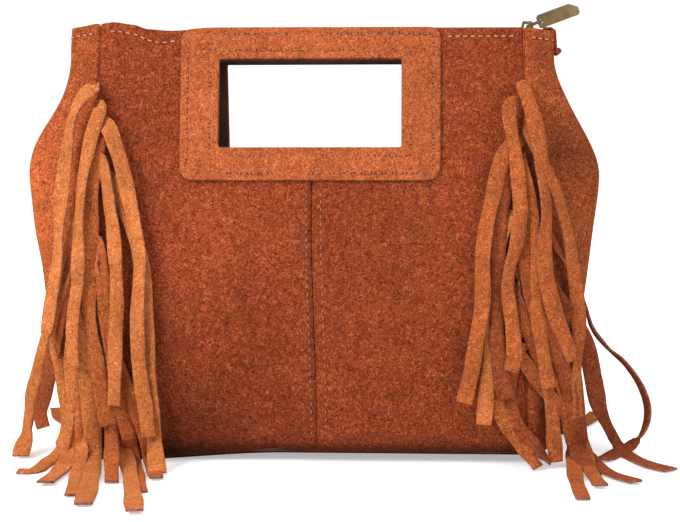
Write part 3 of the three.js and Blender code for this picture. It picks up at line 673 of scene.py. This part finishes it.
def handle_frame(name, front):
    outer = rounded_loop(FRAME_HALF, FRAME_LOW, PLATE_HEIGHT, 7.0, 5.5)
    inner = rounded_loop(OPENING_HALF, HOLE_LOW, HOLE_TOP, 1.2, 1.2)
    section = [(0.0, 0.0), (-0.004, 0.9), (0.006, 1.4), (0.03, 1.62)]
    section += [(share, FRAME_THICKNESS) for share in FACE_RINGS]
    section += [(0.97, 1.62), (0.993, 1.4), (1.0, 0.9), (1.0, 0.0)]
    vertices = []
    for share, out in section:
        for (outer_x, outer_s), (inner_x, inner_s) in zip(outer, inner):
            x, s = lerp(outer_x, inner_x, share), lerp(outer_s, inner_s, share)
            soft = 0.0
            if out >= FRAME_THICKNESS - 0.01:
                dimple = 1 + 0.5 * math.sin((x + s) * 1.15)
                soft -= 0.34 * dimple * sum(bell(share - row, 0.035) for row in FACE_ROWS)
                soft += 0.5 * wobble(x, s, 0, 22, 9.0 if front else 2.0)
            vertices.append(on_plate(x, s, SEWN_GAP + out + soft, front))
    rings, count = len(section), len(outer)
    faces, slots = [], []
    for r in range(rings):
        following = (r + 1) % rings
        for i in range(count):
            j = (i + 1) % count
            faces.append((r * count + i, r * count + j, following * count + j, following * count + i))
            slots.append(1 if r in (0, 1, rings - 3, rings - 2) else 0)
    obj = make_object(name, vertices, faces, [FRAME, CUT_EDGE], slots)
    rounding = obj.modifiers.new("Subdivision", "SUBSURF")
    rounding.levels = 1
    rounding.render_levels = 1
    return obj


# Sewing


def stitch_rings(start, end, normal, radius):
    """A stitch: a short round thread, sunk at both ends."""
    along = (end - start).normalized()
    side = along.cross(normal).normalized()
    length = (end - start).length
    points = []
    for share, size, rise in STITCH_RINGS:
        middle = start + along * (length * share) + normal * (rise * radius)
        for k in range(STITCH_SIDES):
            angle = 2 * math.pi * k / STITCH_SIDES
            turned = side * math.cos(angle) + normal * (0.8 * math.sin(angle))
            points.append(middle + turned * (radius * size))
    return points


def hole_rings(centre, along, normal, radius):
    """A needle hole: a thin dark disc, longer along the row, whose colour is painted shade of the hole."""
    side = along.cross(normal).normalized()
    points = []
    for height in (-0.25, 0.07):
        for k in range(HOLE_SIDES):
            angle = 2 * math.pi * k / HOLE_SIDES
            offset = along * (math.cos(angle) * radius * 1.25) + side * (math.sin(angle) * radius)
            points.append(centre + offset + normal * height)
    return points


def point_at(line, travelled, distance):
    """The point and the normal at a distance along a line of (point, normal)."""
    distance = clamp(distance, 0, travelled[-1])
    i = next((i for i in range(1, len(line)) if distance <= travelled[i]), len(line) - 1)
    share = (distance - travelled[i - 1]) / max(1e-6, travelled[i] - travelled[i - 1])
    (start, start_normal), (end, end_normal) = line[i - 1], line[i]
    return start.lerp(end, share), start_normal.lerp(end_normal, share).normalized()


def stitches(name, lines, sewing, material=THREAD):
    """Rows of stitches along lines of (point, normal), with dark discs of painted shade for the needle
    holes at their ends.
    """
    pitch, length, radius = sewing
    vertices, faces, slots = [], [], []

    def add(points, around, slot):
        added = tube_faces(len(vertices), len(points) // around, around)
        vertices.extend(points)
        faces.extend(added)
        slots.extend([slot] * len(added))

    for line in lines:
        travelled = [0.0]
        for (a, _), (b, _) in zip(line, line[1:]):
            travelled.append(travelled[-1] + (b - a).length)
        count = max(1, round(travelled[-1] / pitch))
        step = travelled[-1] / count
        for k in range(count):
            middle = (k + 0.5) * step
            a, normal = point_at(line, travelled, middle - length / 2)
            b, _ = point_at(line, travelled, middle + length / 2)
            add(stitch_rings(a, b, normal, radius), STITCH_SIDES, 0)
            along = (b - a).normalized()
            for end in (a, b):
                add(hole_rings(end, along, normal, radius * 1.35), HOLE_SIDES, 1)
    return make_object(name, vertices, faces, [material, NEEDLE_HOLE_SHADE], slots)


def frame_stitches(name, front):
    sign = -1 if front else 1
    normal = Vector((0, sign * math.cos(LEAN), math.sin(LEAN)))
    inset = OUTER_ROW_INSET
    outer = rounded_loop(FRAME_HALF - inset, FRAME_LOW + inset, PLATE_HEIGHT - inset, 4.0, 3.0)
    inset = INNER_ROW_INSET
    inner = rounded_loop(OPENING_HALF + inset, HOLE_LOW - inset, HOLE_TOP + inset, 1.0, 1.0)
    out = SEWN_GAP + FRAME_THICKNESS - 0.25
    lines = [[(on_plate(x, s, out, front), normal) for x, s in loop + loop[:1]] for loop in (outer, inner)]
    return stitches(name, lines, FRAME_SEWING)


def panel_stitches(name, front):
    normal = Vector((0, -1 if front else 1, 0.08)).normalized()
    heights = spans([141, 12], 3)
    lines = []
    for x in SEAM_ROWS:
        drift = [seam_drift(z) if front else 0 for z in heights]
        lines.append([(panel_point(x + d, z, front, 0.1), normal) for z, d in zip(heights, drift)])
    return stitches(name, lines, SEAM_SEWING)


def top_stitches(name, front):
    normal = Vector((0, -1 if front else 1, 0.08)).normalized()
    lines = []
    for x0, x1 in ((-107, -71), (71, 107)):
        line = []
        for x in spans([x0, x1], 3):
            z = TOP_ROW_HEIGHT + 0.3 - (2.2 * bell(x + 80, 8) if front else 0)
            line.append((panel_point(x, z, front, 0.1), normal))
        lines.append(line)
    return stitches(name, lines, TOP_SEWING, PALE_THREAD)


def gusset_stitches(name, side):
    z = TOP_ROW_HEIGHT
    bulge = gusset_bulge(z) - SEAM_CORNER
    line = []
    for i in range(25):
        degrees = -84 + 168 * i / 24
        angle = math.radians(degrees)
        point = gusset_point(side, degrees, z, half_depth(z), bulge, 0.1)
        line.append((point, Vector((side * math.cos(angle), math.sin(angle), 0.1)).normalized()))
    return stitches(name, [line], TOP_SEWING, PALE_THREAD)


# Fringes


def curtain(x, z):
    """How far forward a strand that hangs at x is held by the body."""
    outward = clamp((abs(x) - GUSSET_EDGE) / CURTAIN_REACH)
    bow = panel_bow(min(abs(x), PANEL_EDGE), max(z, (CREASE_HEIGHT + BOTTOM_ROLL) / 2))
    return half_depth(max(z, BELLY_HEIGHT)) * math.sqrt(1 - outward**2) + bow


def seen(px, py, clear, floor):
    """The point in space that a pixel shows: on the curtain of strands, or on the floor."""
    y = -50.0
    for _ in range(6):
        reach = y - EYE.y
        x = EYE.x + (px - VANISHING_PX[0]) * reach / FOCAL_PX
        z = EYE.z + (VANISHING_PX[1] - py) * reach / FOCAL_PX
        y = -(curtain(x, z) + clear)
    low = floor + STRAND_THICKNESS / 2
    if z < low:
        reach = (EYE.z - low) * FOCAL_PX / (py - VANISHING_PX[1])
        y = reach + EYE.y
        x = EYE.x + (px - VANISHING_PX[0]) * reach / FOCAL_PX
        z = low
    return Vector((x, y, z))


def spline(points, step):
    """Evenly spaced points on a smooth curve through given ones."""
    dense = []
    padded = [points[0] * 2 - points[1]] + points + [points[-1] * 2 - points[-2]]
    for i in range(1, len(padded) - 2):
        p0, p1, p2, p3 = padded[i - 1 : i + 3]
        for k in range(16):
            t = k / 16
            linear = (p2 - p0) * t
            square = (2 * p0 - 5 * p1 + 4 * p2 - p3) * t**2
            cube = (3 * p1 - p0 - 3 * p2 + p3) * t**3
            dense.append(0.5 * (2 * p1 + linear + square + cube))
    dense.append(points[-1])
    result, left = [dense[0]], step
    for a, b in zip(dense, dense[1:]):
        gap = (b - a).length
        while gap >= left > 0:
            a = a.lerp(b, left / gap)
            result.append(a)
            gap = (b - a).length
            left = step
        left -= gap
    result.append(dense[-1])
    return result


def strand(points, rng, out, tone, width=STRAND_WIDTH, twist=((0, 0),)):
    """One cut strand along points: on edge at its root, then lying along the body or the floor.

    twist gives (share of the length, degrees) pairs. out collects vertices, faces and face slots."""
    line = spline(points, STRAND_STEP)
    count = len(line)
    half = width * rng.uniform(0.78, 1.04) / 2
    turns = [(0, 0)] + [(t, rng.uniform(-34, 34)) for t in (0.22, 0.45, 0.68)]
    turns.append((0.84, rng.uniform(-12, 12)))
    phase = rng.uniform(0, 6.28)
    thick = STRAND_THICKNESS / 2
    ring = len(STRAND_SECTION)
    vertices, faces, slots = out
    faces += tube_faces(len(vertices), count, ring)
    slots += [CUT_SLOT if k in CUT_SIDES else tone for _ in range(count - 1) for k in range(ring)]
    slots += [CUT_SLOT, CUT_SLOT]
    up = Vector((0, 0, 1))
    forward = -1 if points[-1].y < 0 else 1
    previous = None
    for i, point in enumerate(line):
        share = i / (count - 1)
        from_root = (point - points[0]).length
        along = (line[min(count - 1, i + 1)] - line[max(0, i - 1)]).normalized()
        outward = clamp((abs(point.x) - GUSSET_EDGE) / CURTAIN_REACH, 0, 0.96)
        hang = Vector((math.copysign(outward * 0.8, point.x), forward, 0)).normalized()
        lying = smooth(16, 4, point.z) * smooth(0.95, 0.6, abs(along.z))
        across = hang.lerp(up, lying).cross(along)
        if across.length < 0.05:
            across = previous.copy() if previous else Vector((1, 0, 0))
        across.normalize()
        if across.x < 0:
            across.negate()
        upright = up - along * along.dot(up)
        if upright.length > 0.1:
            across = upright.normalized().lerp(across, smooth(2.0, 15.0, from_root)).normalized()
        if previous and across.dot(previous) < 0:
            across.negate()
        previous = across
        normal = across.cross(along).normalized()
        sway = 7 * math.sin(share * 9 + phase)
        angle = math.radians(table(twist, share) + table(turns, share) * (1 - lying) + sway * (1 - lying))
        side = across * math.cos(angle) + normal * math.sin(angle)
        normal = normal * math.cos(angle) - across * math.sin(angle)
        narrow = 1 + 0.07 * math.sin(share * 13 + phase) + 0.05 * math.sin(share * 31 + 2 * phase)
        narrow *= lerp(0.4, 1.0, smooth(1.0, 13.0, from_root))
        bend = 0.5 * math.sin(share * 5 + phase) * (1 - lying) + 0.5 * 0.3
        section = []
        for u, v in STRAND_SECTION:
            cup = bend * (u**2 - 0.4)
            ragged = 0.2 * noise.noise(Vector((i * 0.9, u * half, phase)))
            section.append(point + side * (u * half * narrow + ragged) + normal * (v * thick + cup * 0.6))
        sunk = max(0.0, 0.15 - min(corner.z for corner in section))
        vertices += [corner + Vector((0, 0, sunk)) for corner in section]


def root_points(side, front, z):
    """Where a strand starts in the seam, and where it has come out of it."""
    sign = -1 if front else 1
    half = half_depth(z)
    return [
        Vector((side * ROOT_X, sign * (half - 3), z)),
        Vector((side * ROOT_X, sign * (half + 1.5), z - 0.3)),
    ]


def header(side, front, out):
    """The uncut strip of a fringe, in its seam."""
    vertices, faces, slots = out
    sign = -1 if front else 1
    middle = side * ROOT_X
    heights = spans([HEADER_TOP, HEADER_LOW], 6)
    strip = tube_faces(len(vertices), len(heights), 4)
    faces += strip
    slots += [2] * len(strip)
    for z in heights:
        half = half_depth(z)
        raised = lift(middle, z, front)
        for x, depth in ((-0.38, 1.0), (0.38, 1.0), (0.38, 4.6), (-0.38, 4.6)):
            vertices.append(Vector((middle + x, sign * (half - depth), z + raised)))


# Each front strand: height of its root, clearance from the body, tone (partly painted light and shade), and
# the pixels that it runs through
LEFT = [
    (196, 9.0, 0, [(90, 88), (77, 102), (70, 121), (65, 150), (61, 179), (57, 213), (54, 259),
        (47, 300), (41, 336)]),
    (187, 9.5, 0, [(99, 108), (92, 129), (86, 152), (81, 175), (78, 198), (76, 228), (75, 259),
        (74, 285), (70, 310), (68, 335), (68.5, 369)]),
    (178, 9.0, 0, [(107, 126), (114, 144), (121, 167), (127, 195), (134, 228), (138, 259), (135, 310),
        (135, 343), (137, 377), (142, 410), (145, 440)]),
    (169, 6.0, 1, [(98, 140), (94, 160), (90, 190), (88, 230), (86, 270), (85, 302), (88, 335),
        (94, 369), (98, 395), (104, 430)]),
    (160, 8.0, 0, [(101, 160), (105, 180), (108, 205), (111, 228), (113, 259), (114, 290), (114, 310),
        (112, 343), (111, 377), (110, 409)]),
    (151, 5.5, 0, [(108, 178), (120, 198), (130, 228), (138, 255), (142, 290), (143, 320), (145, 350),
        (147, 377), (149, 410), (151, 444), (154, 477)]),
    (142, 3.5, 0, [(92, 190), (80, 215), (68, 245), (60, 280), (50, 315), (41, 345), (33, 372),
        (25, 400), (20, 430), (13, 461)]),
    (133, 4.0, 2, [(92, 205), (84, 230), (72, 262), (60, 300), (52, 335), (45, 369), (40, 396),
        (34, 415), (37, 432)]),
    (124, 3.0, 0, [(92, 222), (80, 255), (66, 295), (52, 343), (57, 370), (61, 400), (62, 427),
        (56, 450), (44, 466), (28, 476), (10, 477)]),
    (115, 5.0, 1, [(96, 240), (100, 270), (101, 300), (104, 335), (107, 370), (109, 405), (107, 440),
        (107, 487)]),
    (106, 4.0, 0, [(94, 258), (86, 290), (80, 330), (80, 360), (83, 385), (87, 427), (89, 460),
        (84, 488), (77, 510)]),
    (97, 3.0, 0, [(94, 275), (80, 310), (70, 345), (68, 385), (70, 427), (66, 455), (54, 475),
        (38, 488)]),
    (88, 3.5, 1, [(96, 292), (104, 320), (110, 355), (114, 390), (119, 418), (125, 440), (129, 465),
        (135, 497)]),
    (79, 2.5, 0, [(94, 308), (84, 340), (78, 380), (76, 420), (77, 450), (72, 477), (65, 501)]),
    (70, 2.5, 1, [(96, 325), (108, 350), (122, 385), (132, 412), (142, 444), (147, 466), (153, 482)]),
    (63, 2.2, 0, [(94, 340), (98, 370), (104, 400), (112, 430), (120, 455), (126, 480), (130, 516)]),
]
RIGHT = [
    (196, 9.0, 1, [(521, 86), (526, 98), (533, 121), (538, 144), (541, 167), (544, 190), (546, 213),
        (544, 240), (545, 267), (549, 290), (557, 318), (566, 340), (574, 359)]),
    (187, 9.0, 1, [(510, 104), (508, 116), (511, 135), (515, 155), (518, 182), (520, 213), (516, 244),
        (510, 267), (508, 290), (510, 305), (513, 327), (515, 352), (512, 371)]),
    (178, 6.5, 1, [(528, 130), (538, 152), (549, 176), (556, 190), (561, 208), (567, 230), (572, 259),
        (576, 290), (579, 320), (578, 350), (577, 377), (579, 417)]),
    (169, 8.0, 1, [(506, 150), (498, 170), (492, 198), (486, 228), (483, 259), (483, 302), (478, 335),
        (473, 369), (465, 403)]),
    (160, 5.5, 1, [(520, 165), (528, 195), (532, 225), (534, 250), (534, 270), (535, 295), (540, 327),
        (545, 360), (550, 388)]),
    (151, 6.0, 2, [(508, 185), (501, 210), (498, 245), (500, 277), (498, 310), (498, 343), (502, 377),
        (508, 399)]),
    (142, 4.0, 2, [(524, 195), (540, 220), (556, 245), (572, 270), (584, 300), (592, 325), (606, 345),
        (625, 362), (641, 385), (648, 408), (644, 430), (628, 448), (604, 459)]),
    (133, 4.5, 0, [(512, 215), (500, 245), (494, 280), (492, 320), (492, 357), (488, 385), (485, 425)]),
    (124, 5.0, 2, [(520, 232), (526, 260), (532, 290), (541, 320), (551, 345), (561, 362), (569, 385),
        (571, 405), (573, 430), (580, 453), (596, 474)]),
    (115, 3.5, 2, [(522, 250), (540, 275), (560, 300), (577, 325), (588, 350), (594, 378), (600, 404),
        (612, 432), (626, 452), (648, 463), (672, 469)]),
    (106, 3.5, 2, [(520, 268), (534, 292), (552, 320), (567, 345), (577, 370), (581, 400), (584, 430),
        (592, 455), (610, 472), (638, 481)]),
    (97, 3.0, 2, [(516, 285), (516, 315), (514, 345), (512, 370), (511, 395), (516, 420), (532, 442),
        (552, 462)]),
    (88, 3.0, 1, [(520, 300), (528, 325), (538, 352), (547, 380), (553, 410), (555, 435), (558, 462)]),
    (79, 2.5, 1, [(520, 318), (536, 340), (552, 365), (566, 395), (570, 425), (574, 455), (578, 480),
        (585, 499)]),
    (70, 2.5, 1, [(518, 335), (512, 360), (504, 385), (499, 405), (508, 425), (522, 445), (540, 468)]),
    (63, 2.2, 1, [(520, 350), (535, 375), (555, 400), (574, 425), (586, 450), (592, 470), (602, 485)]),
]
# Strands that turn on their way down, by side and root: (share of the length, degrees)
TWISTS = {
    (-1, 124): ((0, 0), (0.5, 20), (1, 0)),
    (1, LOOP_ROOT): ((0, 0), (0.5, 50), (0.75, 60), (0.9, 30), (1, 0)),
}


def front_fringe(name, side, routes):
    rng = random.Random(7 if side < 0 else 11)
    out = ([], [], [])
    header(side, True, out)
    for k, (root, clear, tone, pixels) in enumerate(routes):
        floor = FLOOR + FLOOR_LAYER * (k % 4)
        points = root_points(side, True, root)
        points += [seen(px, py, clear, floor) for px, py in pixels]
        width = LOOP_WIDTH if side > 0 and root == LOOP_ROOT else STRAND_WIDTH
        strand(points, rng, out, tone, width, TWISTS.get((side, root), ((0, 0),)))
    return make_object(name, *out[:2], [*STRANDS, CUT_EDGE], out[2])


def back_fringe(name, side):
    """The strands of the back hang in the same way: six to a layer, spread to both sides of the seam."""
    rng = random.Random(23 if side < 0 else 29)
    out = ([], [], [])
    header(side, False, out)
    for k in range(STRAND_COUNT):
        root = TOP_ROOT - STRAND_PITCH * k
        in_layer, layer = k % LAYER_STRANDS, 2 - k // LAYER_STRANDS
        column = (1 if in_layer % 2 else -1) * ((5 - in_layer) // 2 + 0.75) + rng.uniform(-0.15, 0.15)
        clear = 2.6 + 3.2 * layer
        floor = FLOOR + 0.8 + 1.7 * layer + STRAND_THICKNESS / 2
        points = root_points(side, False, root)
        length = 0.0
        drop = 9.0
        while length < STRAND_LENGTH - 2 and root - drop > floor + 9:
            t = clamp(drop / 62)
            x = ROOT_X + column * COLUMN_PITCH * math.sin(t * math.pi / 2) + 1.5 * math.sin(drop / 22 + k)
            z = root - drop
            point = Vector((side * x, curtain(x, z) + clear, z))
            length += (point - points[-1]).length
            points.append(point)
            drop += 14
        if length < STRAND_LENGTH - 15:
            splay = math.radians(2 + 7 * column)
            ahead = Vector((side * math.sin(splay), math.cos(splay), 0))
            aside = Vector((side * math.cos(splay), -math.sin(splay), 0))
            foot = points[-1].copy()
            for run, bend in ((8, 0), (26, 2), (50, 5), (80, 3), (120, 0)):
                if length >= STRAND_LENGTH - 10:
                    break
                point = foot + ahead * min(run, STRAND_LENGTH - length + (foot - points[-1]).length)
                point += aside * bend
                point.z = floor
                length += (point - points[-1]).length
                points.append(point)
        strand(points, rng, out, rng.choice((0, 1, 1, 2)))
    return make_object(name, *out[:2], [*STRANDS, CUT_EDGE], out[2])


# The pieces of the bag


def stand_in(piece, node):
    """A soft piece in place of its CAD node."""
    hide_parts(node)
    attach(piece, "bag")


for front, label in ((True, "front"), (False, "back")):
    for side, hand in ((-1, "left"), (1, "right")):
        piece = panel_half(f"{label}_{hand}_suede", side, front)
        stand_in(piece, f"{label}_panel_{hand}")
    stand_in(handle_frame(f"{label}_frame_suede", front), f"handle_frame_{label}")
    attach(frame_stitches(f"{label}_frame_stitches", front), "bag")
    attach(panel_stitches(f"{label}_panel_stitches", front), "bag")
    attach(top_stitches(f"{label}_top_stitches", front), "bag")

for side, hand in ((-1, "left"), (1, "right")):
    stand_in(gusset(f"gusset_{hand}_suede", side), f"gusset_{hand}")
    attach(gusset_stitches(f"gusset_{hand}_stitches", side), "bag")

for side, hand, routes in ((-1, "left", LEFT), (1, "right", RIGHT)):
    piece = front_fringe(f"fringe_front_{hand}_strands", side, routes)
    stand_in(piece, f"fringe_front_{hand}")
    piece = back_fringe(f"fringe_back_{hand}_strands", side)
    stand_in(piece, f"fringe_back_{hand}")

stand_in(base_plate("base_suede", "base_panel", PANEL), "base_panel")
stand_in(base_plate("base_stiffener", "base_board", BOARD), "base_board")

# Materials for the CAD pieces that are shown as they are
CAD_LOOKS = {
    "lining": LINING,
    "handle_facing_front": FACING,
    "handle_facing_back": FACING,
    "zip_tape_front": TAPE,
    "zip_tape_back": TAPE,
    "zip_tail": PANEL,
    "zip_teeth_front": BRASS,
    "zip_teeth_back": BRASS,
    "zip_stop_open": BRASS,
    "zip_stop_closed": BRASS,
    "zip_slider": BRASS,
    "zip_link": BRASS,
    "zip_pull": PLATE,
}
for name, material in CAD_LOOKS.items():
    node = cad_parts[name]
    if not node.material_slots:
        node.data.materials.append(material)
    for held in node.material_slots:
        held.material = material


# Floor, light and camera


def floor_material():
    """White, with a glow that only the camera sees and that grows with the distance from the bag."""
    look = Look("white_table")
    away = look.add("VectorMath", {0: look.place}, operation="LENGTH").outputs["Value"]
    glow = look.map_range(away, (0.3, 1.6), (0.42, 1.1))
    camera_ray = look.add("LightPath", {}).outputs["Is Camera Ray"]
    strength = look.add("Math", {0: camera_ray, 1: glow}, operation="MULTIPLY").outputs[0]
    diffuse = look.add("BsdfDiffuse", {"Color": (0.9, 0.9, 0.9, 1)}).outputs[0]
    emission = look.add("Emission", {"Strength": strength}).outputs[0]
    return look.show(look.add("AddShader", {0: diffuse, 1: emission}).outputs[0])


bpy.ops.mesh.primitive_plane_add(size=12, location=(0, 0, 0))
table_top = bpy.context.object
table_top.name = "table"
table_top.data.materials.append(floor_material())

# The world is white to the camera and dimmer on the bag
world = bpy.data.worlds.new("studio")
world.use_nodes = True
bpy.context.scene.world = world
nodes, links = world.node_tree.nodes, world.node_tree.links
camera_ray = nodes.new("ShaderNodeLightPath").outputs["Is Camera Ray"]
strength = nodes.new("ShaderNodeMapRange")
strength.inputs["To Min"].default_value = 0.37
strength.inputs["To Max"].default_value = 1.1
links.new(camera_ray, strength.inputs["Value"])
nodes["Background"].inputs["Color"].default_value = (1, 1, 1, 1)
links.new(strength.outputs["Result"], nodes["Background"].inputs["Strength"])


def area_light(name, place, size, power, color=(1, 1, 1)):
    """A rectangular lamp, placed and sized in metres."""
    light = bpy.data.lights.new(name, "AREA")
    light.shape = "RECTANGLE"
    light.size, light.size_y = size
    light.energy = power
    light.color = color
    obj = bpy.data.objects.new(name, light)
    obj.location = Vector(place)
    obj.rotation_euler = (LAMP_TARGET - Vector(place)).to_track_quat("-Z", "Y").to_euler()
    bpy.context.scene.collection.objects.link(obj)


area_light("key", (-0.85, -0.9, 0.95), (0.7, 0.7), 19, (1.0, 0.98, 0.95))
area_light("fill", (0.9, -1.1, 0.6), (1.0, 0.8), 7)
area_light("top", (0.0, 0.1, 1.3), (1.4, 1.0), 9)

camera_data = bpy.data.cameras.new("camera")
camera_data.sensor_width = SENSOR_WIDTH
camera_data.lens = FOCAL_PX / FRAME_WIDTH_PX * SENSOR_WIDTH
camera = bpy.data.objects.new("camera", camera_data)
camera.location = EYE * MM
camera.rotation_euler = (AIM - EYE).to_track_quat("-Z", "Y").to_euler()
bpy.context.scene.collection.objects.link(camera)
bpy.context.scene.camera = camera
bpy.context.scene.view_settings.view_transform = "Standard"

bpy.context.view_layer.update()
